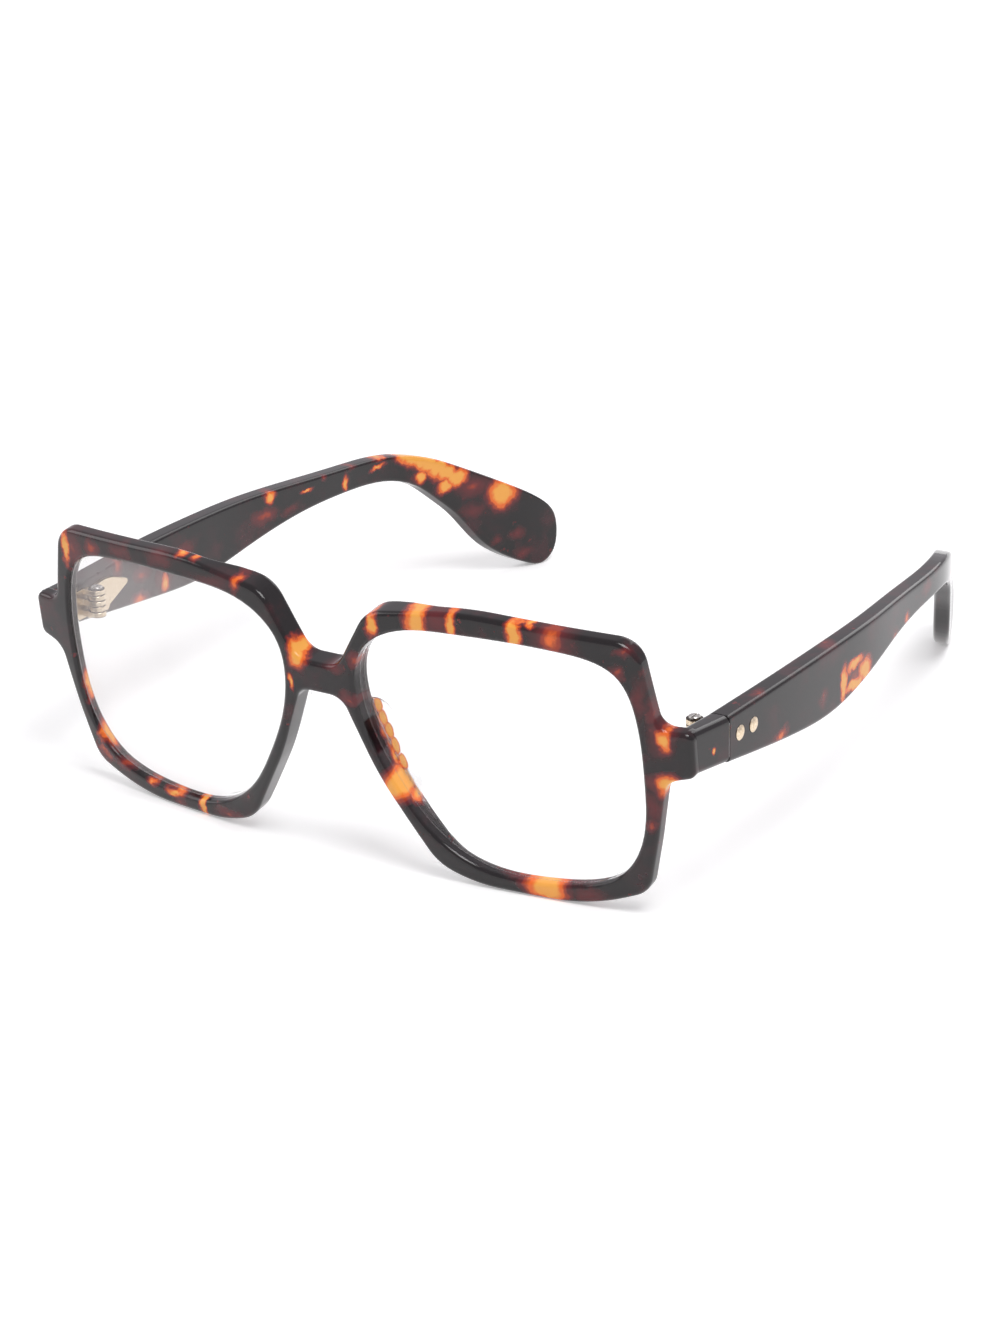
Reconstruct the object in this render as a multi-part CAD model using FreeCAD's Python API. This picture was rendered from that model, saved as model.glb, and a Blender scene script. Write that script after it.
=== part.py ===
import FreeCAD, Part
import math
import os

# Acetate eyeglasses frame with five-barrel hinges. Millimetres, +Z up, the wearer looks along -Y.
# The +X side is the wearer's left. It stands on its rims and on the tips of its open temples.
# Everything is first modelled from the middle of the bridge's front face, where the reference
# line through both lenses crosses it. The origin is moved to the foot of the standing frame last.

V = FreeCAD.Vector

# Lens openings and bridge, measured as boxes round each opening
EYE_WIDTH = 53.3
EYE_HEIGHT = 47.3
EYE_GAP = 15.0
EYE_DROP = 23.8         # bottom of the opening below the reference line
# The opening's outline from its temporal side upwards, in parts of its width and height
EYE_SHAPE = [
    (1.000, 0.503), (0.989, 0.735), (0.925, 0.917), (0.743, 0.985), (0.374, 1.000),
    (0.117, 0.949), (0.028, 0.858), (0.004, 0.657), (0.111, 0.338), (0.237, 0.135),
    (0.383, 0.029), (0.634, 0.004), (0.891, 0.088), (0.974, 0.243),
]

# Front, milled from sheet and bent to a sphere
FRONT_RADIUS = 300.0
LEAN = 7.7              # degrees that the front leans forward over the rims' feet
RIM_DEPTH = 3.2
BRIDGE_DEPTH = 5.2
BRIDGE_REACH = 15.0     # half width of the thick middle
BRIDGE_FADE = 11.0      # run over which the thick middle fades into the rims
RIM_TOP = 3.9
RIM_BOTTOM = 3.2
RIM_SIDE = 3.4          # temporal rim beside the end piece
BRIDGE_TOP = 13.4       # valley over the bridge
BRIDGE_UNDER = 7.5
END_WIDTH = 69.8        # half width over the end pieces
END_TOP = 10.1
END_BOTTOM = 1.7
END_ROUND = 1.3         # corners of the end pieces
LIP_BEVEL = 0.75        # front edges of the openings
LIP_EASE = 0.25         # flats along both borders of that bevel
FACE_BEVEL = 0.5        # front edges of the outline
BACK_LIP_BEVEL = 0.4    # back edges of the openings

# Lens and groove
LENS_DEPTH = 0.9        # front of the lens behind the front face
LENS_THICK = 1.8
TONGUE = 0.6            # how far the lens edge sits in the groove
TONGUE_THICK = 1.2
TONGUE_BEVEL = 0.45
LENS_PLAY = 0.1         # between the lens's full thickness and the opening's wall
LENS_TURN = 1.3         # degrees that the lens turns its nasal edge deeper into the front

# Nose pads, on the back of the nasal rims
PAD_ROOT = 4.3          # where a pad starts behind the front face, inside the rim
PAD_CREST = 0.45        # half width of the blunt ridge
PAD_BELLY = 0.1         # how far both flanks swell between root and ridge
# Level, nasal edge and lens-side edge beyond the opening's nasal edge, ridge and its depth
PAD_SECTIONS = [
    (5.5, -1.9, 0.9, -0.3, 5.9), (3.5, -1.4, 1.3, 0.6, 8.3), (0.5, -0.3, 2.5, 1.7, 9.6),
    (-3.5, 1.5, 4.2, 3.1, 9.9), (-7.5, 3.4, 6.0, 4.7, 9.3), (-11.5, 5.5, 8.3, 6.5, 8.3),
    (-15.5, 8.0, 10.9, 8.6, 7.1), (-18.5, 10.4, 13.0, 10.9, 5.9),
]

# End blocks, bonded behind the end pieces
BLOCK_START = 10.4      # where its sides begin, inside the end piece
BLOCK_ROOT = 66.4       # inner side at the front
BLOCK_INNER = 66.6      # inner side at the hinge
BLOCK_TOP = 10.7        # where it meets the temple
BLOCK_BOTTOM = 2.2
BLOCK_ROUND = 0.8
BLOCK_INSET = 0.1       # its root stands back from the end piece's outer side by the glue line
BLOCK_RISE = 0.2        # lifts the root so that its top and foot leave the end piece flush

# Hinge
PIN_X = 64.2
PIN_Y = 18.1
PIN_RADIUS = 0.6
PIN_PLAY = 0.04
BARREL_RADIUS = 1.5
BARREL_BOTTOM = 3.7
BARREL_HEIGHT = 1.05
BARREL_GAP = 0.05
BARRELS = 5             # the front leaf has the odd ones
WEB_THICK = 1.2
HEAD_RADIUS = 1.1
HEAD_HEIGHT = 0.5
HEAD_BEVEL = 0.15
SLOT_WIDTH = 0.35
SLOT_DEPTH = 0.3
LEAF_THICK = 1.2
LEAF_FACE_X = 66.4      # inner faces of both leaves
LEAF_ROUND = 0.3
FRONT_LEAF_LENGTH = 3.0
FRONT_LEAF_BOTTOM = 3.3
FRONT_LEAF_TOP = 9.0
# Temple leaf outline: distance behind the seam, level, corner radius
TEMPLE_LEAF = [
    (0.1, 8.3, 0.2), (6.2, 9.0, 9.0), (12.8, 6.6, 0.6), (5.9, 3.4, 0.8), (5.9, 2.6, 0.8), (0.1, 2.6, 0.2),
]

# Temple
TEMPLE_THICK = 4.0      # at the hinge
TIP_THICK = 3.2
TEMPLE_OUT = 70.9       # half width over the temples at the hinge
TEMPLE_SHANK = 93.0     # hinge to the start of the ear bend
TEMPLE_BEVEL = 0.55
SEAM_GAP = 0.05         # between end piece and open temple
# Shank: part of its length, top edge, bottom edge
SHANK = [
    (0.00, 10.7, 2.2), (0.25, 10.8, -1.0), (0.40, 10.6, -1.95), (0.55, 10.2, -0.4),
    (0.75, 9.1, 2.3), (0.92, 8.0, 2.6),
]
# Ear piece: top edge, round tip and bottom edge as distances from the start of the bend
EAR = [
    (7.6, 6.4), (14.2, 4.3), (21.1, 0.8), (32.1, -5.5), (40.3, -10.8), (44.1, -14.8),
    (45.0, -19.7), (43.6, -24.3), (40.4, -26.1), (37.0, -25.2), (31.1, -21.9), (26.7, -18.3),
    (20.1, -9.9), (15.6, -5.4), (10.8, -1.3),
]
# Bow of the outer face in plan: part of the shank or distance past it, against TEMPLE_OUT
SHANK_BOW = [(0.0, 0.0), (0.20, 0.9), (0.41, 1.1), (0.58, 0.6), (0.73, -0.8), (0.86, -2.1)]
EAR_BOW = [(3.0, -4.5), (12.0, -7.5), (22.0, -11.8), (32.0, -16.3), (41.0, -20.0), (47.0, -21.8)]
# Core wire: part of the shank or distance past it, against the level of its centre line
SHANK_CORE = [(0.0, 7.1), (0.10, 6.5), (0.25, 5.3), (0.40, 4.4), (0.58, 5.0), (0.80, 5.6), (0.93, 4.9)]
EAR_CORE = [(8.0, 2.5), (14.9, -1.3), (22.0, -6.2), (29.4, -11.9), (34.5, -15.8)]
CORE_HEIGHT = 2.2
CORE_THICK = 1.1
CORE_DEPTH = 1.6        # below the temple's outer face
RIVET_RADIUS = 0.55
RIVET_HEAD = 1.4
RIVET_DOME = 0.45
RIVETS = [(3.4, 6.6), (7.8, 6.5)]   # distance behind the seam, level
RIVET_BITE = 0.7        # length of the shank in the leaf

SEAM_Y = PIN_Y + 0.1
FAR = 200.0
TINY = 0.001
BACK_MATCH = 0.12       # how near the sheet's back an edge's middle must lie to be a back edge
OFFSET_POINTS = 40


def mirrored(shape):
    return shape.mirror(V(0, 0, 0), V(1, 0, 0))


def leaned(shape):
    out = shape.copy()
    out.rotate(V(0, 0, 0), V(1, 0, 0), LEAN)
    return out


def rounded_wire(corners):
    """Closed wire through corners (point, radius): straight sides joined by tangent arcs."""
    count = len(corners)
    bends = []
    for i, (at, radius) in enumerate(corners):
        back = corners[i - 1][0] - at
        ahead = corners[(i + 1) % count][0] - at
        back.normalize()
        ahead.normalize()
        half = back.getAngle(ahead) / 2
        reach = radius / math.tan(half)
        middle = back + ahead
        middle.normalize()
        arc_mid = at + middle * (radius / math.sin(half) - radius)
        bends.append((at + back * reach, arc_mid, at + ahead * reach))
    edges = []
    for i, (start, mid, stop) in enumerate(bends):
        edges.append(Part.Arc(start, mid, stop).toShape())
        edges.append(Part.makeLine(stop, bends[(i + 1) % count][0]))
    return Part.Wire(edges)


def prism(wire, direction):
    """Solid through everything on both sides of a flat wire."""
    face = Part.Face(wire)
    face.translate(direction * (-FAR / 2))
    return face.extrude(direction * FAR)


def open_spline(points):
    curve = Part.BSplineCurve()
    curve.interpolate(points)
    return curve


# ---------------------------------------------------------------- front

def eye_curve(grow=0.0):
    """Outline of the +X opening, moved outwards by grow."""
    inner = EYE_GAP / 2
    points = [V(inner + a * EYE_WIDTH, 0, b * EYE_HEIGHT - EYE_DROP) for a, b in EYE_SHAPE]
    curve = Part.BSplineCurve()
    curve.interpolate(Points=points, PeriodicFlag=True)
    if not grow:
        return curve
    moved = []
    for i in range(OFFSET_POINTS):
        at = curve.FirstParameter + (curve.LastParameter - curve.FirstParameter) * i / OFFSET_POINTS
        ahead = curve.tangent(at)[0]
        moved.append(curve.value(at) + V(ahead.z, 0, -ahead.x) * grow)
    offset = Part.BSplineCurve()
    offset.interpolate(Points=moved, PeriodicFlag=True)
    return offset


def eye_prism(grow=0.0):
    return prism(Part.Wire([eye_curve(grow).toShape()]), V(0, 1, 0))


def front_outline():
    """Corners (x, z, radius) of the +X half, from under the bridge round to the bridge's top."""
    nasal = EYE_GAP / 2
    side = nasal + EYE_WIDTH
    top = EYE_HEIGHT - EYE_DROP
    bottom = -EYE_DROP
    half = [
        (nasal - 3.0, BRIDGE_UNDER, 3.2),
        (nasal + 2.8, bottom + 16.8, 60.0),
        (nasal + 12.4, bottom + 0.2, 6.0),
        (nasal + 19.5, bottom - RIM_BOTTOM + 0.5, 25.0),
        (nasal + 41.0, bottom - RIM_BOTTOM - 0.2, 35.0),
        (side - 1.0, bottom + 1.2, 3.8),
        (side + 1.6, bottom + 12.3, 60.0),
        (side + RIM_SIDE + 0.4, END_BOTTOM - 1.3, 3.0),
        (END_WIDTH, END_BOTTOM, END_ROUND),
        (END_WIDTH, END_TOP, END_ROUND),
        (side + RIM_SIDE - 0.4, END_TOP + 0.2, 2.6),
        (side, top + RIM_TOP - 1.6, 4.0),
        (nasal + 21.0, top + RIM_TOP + 0.5, 60.0),
        (nasal + 3.4, top + RIM_TOP - 2.2, 3.2),
        (4.1, BRIDGE_TOP, 3.0),
    ]
    return half + [(-x, z, r) for x, z, r in reversed(half)]


def depth_at(x):
    """Thickness of the front at a distance x from its middle."""
    fade = min(max((abs(x) - BRIDGE_REACH) / BRIDGE_FADE, 0.0), 1.0)
    ease = 0.5 + 0.5 * math.cos(math.pi * fade)
    return RIM_DEPTH + (BRIDGE_DEPTH - RIM_DEPTH) * ease


def sag(x):
    return FRONT_RADIUS - math.sqrt(FRONT_RADIUS * FRONT_RADIUS - x * x)


def bent_sheet():
    """The bent blank: its plan section turned about the level axis through the sphere's centre."""
    half = END_WIDTH + 8.0
    fade_end = BRIDGE_REACH + BRIDGE_FADE
    stops = [0.0, BRIDGE_REACH / 2, BRIDGE_REACH, BRIDGE_REACH + BRIDGE_FADE / 2, fade_end,
             fade_end + 4.0, (fade_end + half) / 2, half]
    stops = [-x for x in reversed(stops[1:])] + stops
    face_edge = Part.Arc(V(-half, sag(half), 0), V(0, 0, 0), V(half, sag(half), 0)).toShape()
    back_edge = open_spline([V(x, sag(x) + depth_at(x), 0) for x in stops]).toShape()
    ends = [Part.makeLine(V(x, sag(x), 0), V(x, sag(x) + depth_at(x), 0)) for x in (-half, half)]
    section = Part.Face(Part.Wire(Part.__sortEdges__([face_edge, back_edge] + ends)))
    turn = math.degrees(math.atan(EYE_HEIGHT / FRONT_RADIUS))
    section.rotate(V(0, FRONT_RADIUS, 0), V(1, 0, 0), -turn)
    return section.revolve(V(0, FRONT_RADIUS, 0), V(1, 0, 0), 2 * turn)


def sphere_depth(point):
    """How far a point of the upright front lies behind the front face."""
    return FRONT_RADIUS - point.distanceToPoint(V(0, FRONT_RADIUS, 0))


def edge_middle(edge):
    return edge.valueAt((edge.FirstParameter + edge.LastParameter) / 2)


def distinct(edges):
    kept = []
    for edge in edges:
        if not any(edge.isSame(other) for other in kept):
            kept.append(edge)
    return kept


def is_lip(edge):
    """The openings' edges are each one long curve, the outline's are short ones."""
    return edge.Length > EYE_WIDTH


def face_edges(body, depth, lips):
    """Edges at one depth behind the front face, of the openings or of the outline."""
    found = [e for e in distinct(body.Edges) if abs(sphere_depth(edge_middle(e)) - depth) < TINY]
    return [e for e in found if is_lip(e) == lips]


def back_lip_edges(body):
    found = []
    for edge in distinct(body.Edges):
        point = edge_middle(edge)
        behind = V(point.x, sag(point.x) + depth_at(point.x), 0)
        if is_lip(edge) and abs(sphere_depth(point) - sphere_depth(behind)) < BACK_MATCH:
            found.append(edge)
    return found


def front_blank():
    """The bent front with both openings and eased edges, before the grooves."""
    outline = rounded_wire([(V(x, 0, z), r) for x, z, r in front_outline()])
    body = bent_sheet().common(prism(outline, V(0, 1, 0)))
    for eye in (eye_prism(), mirrored(eye_prism())):
        body = body.cut(eye)
    body = body.Solids[0]
    body = body.makeChamfer(LIP_BEVEL, face_edges(body, 0.0, True))
    body = body.makeChamfer(LIP_EASE, face_edges(body, 0.0, True))
    body = body.makeChamfer(LIP_EASE, face_edges(body, LIP_BEVEL, True))
    body = body.makeChamfer(FACE_BEVEL, face_edges(body, 0.0, False))
    body = body.makeChamfer(BACK_LIP_BEVEL, back_lip_edges(body))
    return body


def lens_shell(depth, thickness):
    """Shell between two spheres, turned so that the nasal side lies deeper."""
    hub = V(EYE_GAP / 2 + EYE_WIDTH, 0, 0)
    centre = hub + FreeCAD.Rotation(V(0, 0, 1), -LENS_TURN).multVec(V(0, FRONT_RADIUS, 0) - hub)
    shell = Part.makeSphere(FRONT_RADIUS - depth, centre)
    return shell.cut(Part.makeSphere(FRONT_RADIUS - depth - thickness, centre))


def nearest(shape):
    """The solid of a cut sphere that lies at the front."""
    return min(shape.Solids, key=lambda s: s.CenterOfMass.y)


def lens_tongue():
    """The bevelled edge of the +X lens, which also cuts the groove."""
    shell = lens_shell(LENS_DEPTH + (LENS_THICK - TONGUE_THICK) / 2, TONGUE_THICK)
    disc = nearest(eye_prism(TONGUE).common(shell))
    rims = [e for e in distinct(disc.Edges) if is_lip(e)]
    return disc.makeChamfer(TONGUE_BEVEL, rims).cut(eye_prism(-2 * TONGUE))


def lens(tongue):
    disc = nearest(eye_prism(-LENS_PLAY).common(lens_shell(LENS_DEPTH, LENS_THICK)))
    return disc.fuse(tongue)


# ---------------------------------------------------------------- nose pads

def nose_pad(front):
    """Crescent on the back of the nasal rim, lofted through level sections. Needs the front."""
    wires = []
    for level, inner, outer, ridge, depth in PAD_SECTIONS:
        inner += EYE_GAP / 2
        outer += EYE_GAP / 2
        ridge += EYE_GAP / 2
        root = sag(inner) + PAD_ROOT
        half_way = (root + depth) / 2
        points = [V(inner, root, level), V((inner + ridge) / 2 - PAD_BELLY, half_way, level),
                  V(ridge - PAD_CREST, depth - PAD_CREST, level), V(ridge, depth, level),
                  V(ridge + PAD_CREST, depth - PAD_CREST, level),
                  V((outer + ridge) / 2 + PAD_BELLY, half_way, level), V(outer, root, level)]
        wires.append(Part.makePolygon(points + points[:1]))
    return Part.makeLoft(wires, True, False).cut(front)


# ---------------------------------------------------------------- end blocks

def box_wire(corner_a, corner_b, radius):
    """Rounded rectangle in a plane of constant y."""
    y = corner_a.y
    corners = [V(corner_a.x, y, corner_a.z), V(corner_b.x, y, corner_a.z),
               V(corner_b.x, y, corner_b.z), V(corner_a.x, y, corner_b.z)]
    return rounded_wire([(c, radius) for c in corners])


def end_block(sheet):
    """Block bonded behind the end piece that turns the front back to the hinge."""
    near = box_wire(V(BLOCK_ROOT, BLOCK_START, END_BOTTOM + BLOCK_RISE),
                    V(END_WIDTH - BLOCK_INSET, BLOCK_START, END_TOP + BLOCK_RISE), END_ROUND)
    near = leaned(near)
    far = box_wire(V(BLOCK_INNER, SEAM_Y - SEAM_GAP, BLOCK_BOTTOM),
                   V(TEMPLE_OUT, SEAM_Y - SEAM_GAP, BLOCK_TOP), BLOCK_ROUND)
    return Part.makeLoft([near, far], True, True).cut(leaned(sheet))


# ---------------------------------------------------------------- temple

def bow_points(inset, taper):
    """Plan curve of the temple, inset from its outer face by a thickness that tapers."""
    points = [V(TEMPLE_OUT + b, SEAM_Y + a * TEMPLE_SHANK, 0) for a, b in SHANK_BOW]
    points += [V(TEMPLE_OUT + b, SEAM_Y + TEMPLE_SHANK + a, 0) for a, b in EAR_BOW]
    curve = open_spline(points)
    length = points[-1].y - points[0].y
    moved = []
    for p in points:
        ahead = curve.tangent(curve.parameter(p))[0]
        part = (p.y - SEAM_Y) / length
        moved.append(p + V(-ahead.y, ahead.x, 0) * (inset - taper * part))
    return moved


def plan_band(outer_inset, inner_inset, taper):
    """Upright band between two insets from the outer face, thinning towards the tip."""
    outer = bow_points(outer_inset, 0.0)
    inner = bow_points(inner_inset, taper)
    edges = [open_spline(outer).toShape(), open_spline(inner).toShape(),
             Part.makeLine(outer[0], inner[0]), Part.makeLine(outer[-1], inner[-1])]
    return prism(Part.Wire(Part.__sortEdges__(edges)), V(0, 0, 1))


def side_profile():
    """Side outline of the temple as a prism across the frame."""
    top = [V(0, SEAM_Y + a * TEMPLE_SHANK, z) for a, z, _ in SHANK]
    ear = [V(0, SEAM_Y + TEMPLE_SHANK + a, z) for a, z in EAR]
    bottom = [V(0, SEAM_Y + a * TEMPLE_SHANK, z) for a, _, z in reversed(SHANK)]
    edge = open_spline(top + ear + bottom).toShape()
    return prism(Part.Wire([edge, Part.makeLine(bottom[-1], top[0])]), V(1, 0, 0))


def temple_blank():
    """The bowed blade with its four long edges eased, before its pockets and holes."""
    body = side_profile().common(plan_band(0.0, TEMPLE_THICK, TEMPLE_THICK - TIP_THICK)).Solids[0]
    edges = [e for e in distinct(body.Edges) if e.Length > TEMPLE_SHANK]
    return body.makeChamfer(TEMPLE_BEVEL, edges)


def core_profile():
    """Side outline of the core wire: its centre line widened both ways."""
    line = [V(0, SEAM_Y + a * TEMPLE_SHANK, z) for a, z in SHANK_CORE]
    line += [V(0, SEAM_Y + TEMPLE_SHANK + a, z) for a, z in EAR_CORE]
    curve = open_spline(line)
    sides = []
    for half in (CORE_HEIGHT / 2, -CORE_HEIGHT / 2):
        moved = []
        for p in line:
            ahead = curve.tangent(curve.parameter(p))[0]
            moved.append(p + V(0, -ahead.z, ahead.y) * half)
        moved[0] = V(0, SEAM_Y, moved[0].z)
        sides.append(moved)
    edges = [open_spline(side).toShape() for side in sides]
    edges += [Part.makeLine(sides[0][0], sides[1][0]), Part.makeLine(sides[0][-1], sides[1][-1])]
    return prism(Part.Wire(Part.__sortEdges__(edges)), V(1, 0, 0))


def face_x(y):
    """Where the temple's outer face stands at a distance y."""
    curve = open_spline(bow_points(0.0, 0.0)).toShape()
    across = Part.makeLine(V(0, y, 0), V(FAR, y, 0))
    return curve.distToShape(across)[1][0][0].x


def rivet(step, level, blank):
    """Domed rivet from the outer face into the leaf. Needs the temple before its holes."""
    y = SEAM_Y + step
    outer = face_x(y)
    start = LEAF_FACE_X + LEAF_THICK - RIVET_BITE
    shank = Part.makeCylinder(RIVET_RADIUS, outer - start, V(start, y, level), V(1, 0, 0))
    curve_radius = (RIVET_HEAD ** 2 + RIVET_DOME ** 2) / (2 * RIVET_DOME)
    dome = Part.makeSphere(curve_radius, V(outer + RIVET_DOME - curve_radius, y, level))
    reach = Part.makeCylinder(RIVET_HEAD, 2 * RIVET_DOME, V(outer - RIVET_DOME, y, level), V(1, 0, 0))
    return dome.common(reach).cut(blank).fuse(shank).removeSplitter(), shank


# ---------------------------------------------------------------- hinge

def barrel(index, inwards, bore):
    """One barrel with the web that ties it to its leaf, on the front's or the temple's side."""
    z = BARREL_BOTTOM + index * (BARREL_HEIGHT + BARREL_GAP)
    tube = Part.makeCylinder(BARREL_RADIUS, BARREL_HEIGHT, V(PIN_X, PIN_Y, z))
    y = PIN_Y - BARREL_RADIUS if inwards else PIN_Y + BARREL_RADIUS - WEB_THICK
    web = Part.makeBox(LEAF_FACE_X + LEAF_THICK / 2 - PIN_X, WEB_THICK, BARREL_HEIGHT, V(PIN_X, y, z))
    hole = Part.makeCylinder(bore, BARREL_HEIGHT, V(PIN_X, PIN_Y, z))
    return tube.fuse(web).cut(hole)


def front_leaf():
    back = SEAM_Y - SEAM_GAP - LEAF_ROUND
    corners = [(back - FRONT_LEAF_LENGTH, FRONT_LEAF_BOTTOM), (back, FRONT_LEAF_BOTTOM),
               (back, FRONT_LEAF_TOP), (back - FRONT_LEAF_LENGTH, FRONT_LEAF_TOP)]
    wire = rounded_wire([(V(LEAF_FACE_X, y, z), LEAF_ROUND) for y, z in corners])
    leaf = Part.Face(wire).extrude(V(LEAF_THICK, 0, 0))
    for index in range(0, BARRELS, 2):
        leaf = leaf.fuse(barrel(index, True, PIN_RADIUS))
    return leaf.removeSplitter()


def temple_leaf(shanks):
    wire = rounded_wire([(V(LEAF_FACE_X, SEAM_Y + s, z), r) for s, z, r in TEMPLE_LEAF])
    plate = Part.Face(wire).extrude(V(LEAF_THICK, 0, 0))
    leaf = plate
    for index in range(1, BARRELS, 2):
        leaf = leaf.fuse(barrel(index, False, PIN_RADIUS + PIN_PLAY))
    leaf = leaf.removeSplitter()
    for shank in shanks:
        leaf = leaf.cut(shank)
    return leaf, plate


def screw():
    """Slotted hinge screw, its head on the top barrel."""
    stack = BARRELS * BARREL_HEIGHT + (BARRELS - 1) * BARREL_GAP
    top = BARREL_BOTTOM + stack
    body = Part.makeCylinder(PIN_RADIUS, stack, V(PIN_X, PIN_Y, BARREL_BOTTOM))
    head = Part.makeCylinder(HEAD_RADIUS, HEAD_HEIGHT, V(PIN_X, PIN_Y, top))
    head = head.makeChamfer(HEAD_BEVEL, [e for e in head.Edges if e.BoundBox.ZMin > top + TINY])
    slot = Part.makeBox(SLOT_WIDTH, 4 * HEAD_RADIUS, SLOT_DEPTH,
                        V(PIN_X - SLOT_WIDTH / 2, PIN_Y - 2 * HEAD_RADIUS, top + HEAD_HEIGHT - SLOT_DEPTH))
    return body.fuse(head.cut(slot)).removeSplitter()


# ---------------------------------------------------------------- assembly

def build():
    shapes = {}
    tongue = lens_tongue()
    front = front_blank()
    pad = max(nose_pad(front).Solids, key=lambda s: s.Volume)
    front = leaned(front.cut(tongue).cut(mirrored(tongue)))
    shapes["front"] = front
    leaf = front_leaf()
    left = {
        "lens": leaned(lens(tongue)),
        "nose_pad": leaned(pad),
        "end_block": end_block(bent_sheet()).cut(leaf),
        "front_hinge_leaf": leaf,
        "hinge_screw": screw(),
    }
    blank = temple_blank()
    core = core_profile().common(plan_band(CORE_DEPTH, CORE_DEPTH + CORE_THICK, 0.0)).Solids[0]
    rivets = [rivet(step, level, blank) for step, level in RIVETS]
    shanks = [shank for _, shank in rivets]
    leaf, plate = temple_leaf(shanks)
    temple = blank.cut(plate).cut(core)
    for shank in shanks:
        temple = temple.cut(shank)
        core = core.cut(shank)
    left["temple"] = temple
    left["temple_core"] = core
    left["temple_rivets"] = Part.makeCompound([solid for solid, _ in rivets])
    left["temple_hinge_leaf"] = leaf
    for name, shape in left.items():
        shapes[name + "_left"] = shape
        shapes[name + "_right"] = mirrored(shape)
    return shapes


def moved_to_foot(shapes):
    """Everything shifted so that the origin lies under the middle of the standing frame."""
    boxes = [shape.optimalBoundingBox() for shape in shapes.values()]
    low = min(box.ZMin for box in boxes)
    middle = (min(box.YMin for box in boxes) + max(box.YMax for box in boxes)) / 2
    out = {}
    for name, shape in shapes.items():
        out[name] = shape.copy()
        out[name].translate(V(0, -middle, -low))
    return out


os.makedirs("parts", exist_ok=True)
for name, shape in moved_to_foot(build()).items():
    shape.exportStep("parts/" + name + ".step")
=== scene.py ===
import math

import bmesh
import bpy
import numpy as np
from bpy.props import FloatProperty, FloatVectorProperty, PointerProperty
from mathutils import Matrix, Vector


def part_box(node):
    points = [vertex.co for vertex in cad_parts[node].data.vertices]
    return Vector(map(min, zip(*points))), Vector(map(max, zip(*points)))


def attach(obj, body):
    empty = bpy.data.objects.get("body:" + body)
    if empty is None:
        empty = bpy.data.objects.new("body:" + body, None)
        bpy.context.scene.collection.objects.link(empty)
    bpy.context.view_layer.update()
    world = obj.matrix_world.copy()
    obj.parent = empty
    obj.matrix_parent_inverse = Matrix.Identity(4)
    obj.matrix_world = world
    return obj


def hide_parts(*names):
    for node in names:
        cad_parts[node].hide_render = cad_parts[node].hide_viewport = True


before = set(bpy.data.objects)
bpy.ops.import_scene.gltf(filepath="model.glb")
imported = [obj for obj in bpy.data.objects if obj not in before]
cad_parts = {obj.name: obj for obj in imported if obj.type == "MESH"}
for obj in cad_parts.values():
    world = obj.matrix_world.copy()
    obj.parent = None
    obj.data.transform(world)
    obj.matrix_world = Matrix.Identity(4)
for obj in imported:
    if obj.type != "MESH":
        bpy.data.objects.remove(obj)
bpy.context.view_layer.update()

bl_info = {
    "name": "Tortoise Eyeglasses Frame",
    "version": (1, 0, 0),
    "blender": (4, 5, 0),
    "location": "View3D > Sidebar > Eyeglasses",
    "description": "Dresses the packed eyeglasses frame: acetate, lenses, metal and a pale stage",
    "category": "Object",
}

MM = 0.001

# The hinge pin ties this file's places to the frame: its axis in plan and the screw's foot.
PIN_LOW, PIN_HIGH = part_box("hinge_screw_left")
PIN = Vector(((PIN_LOW.x + PIN_HIGH.x) / 2, (PIN_LOW.y + PIN_HIGH.y) / 2, PIN_LOW.z))
PIN_ON_DRAWING = Vector((64.2, 18.1, 3.7))   # the same place in the drawing's millimetres

BARREL_PITCH, BARREL_GAP = 1.10, 0.05   # millimetres from one hinge barrel to the next, and between them
WHITE = (1.0, 1.0, 1.0, 1.0)


# ---------------------------------------------------------------- node writing

class Wire:
    """A socket that can be used in sums: each operator adds one Math node."""

    def __init__(self, graph, socket):
        self.graph = graph
        self.socket = socket

    def __add__(self, other):
        return self.graph.maths("ADD", self, other)

    def __sub__(self, other):
        return self.graph.maths("SUBTRACT", self, other)

    def __rsub__(self, other):
        return self.graph.maths("SUBTRACT", other, self)

    def __mul__(self, other):
        return self.graph.maths("MULTIPLY", self, other)

    def __truediv__(self, other):
        return self.graph.maths("DIVIDE", self, other)

    __radd__ = __add__
    __rmul__ = __mul__


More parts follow.
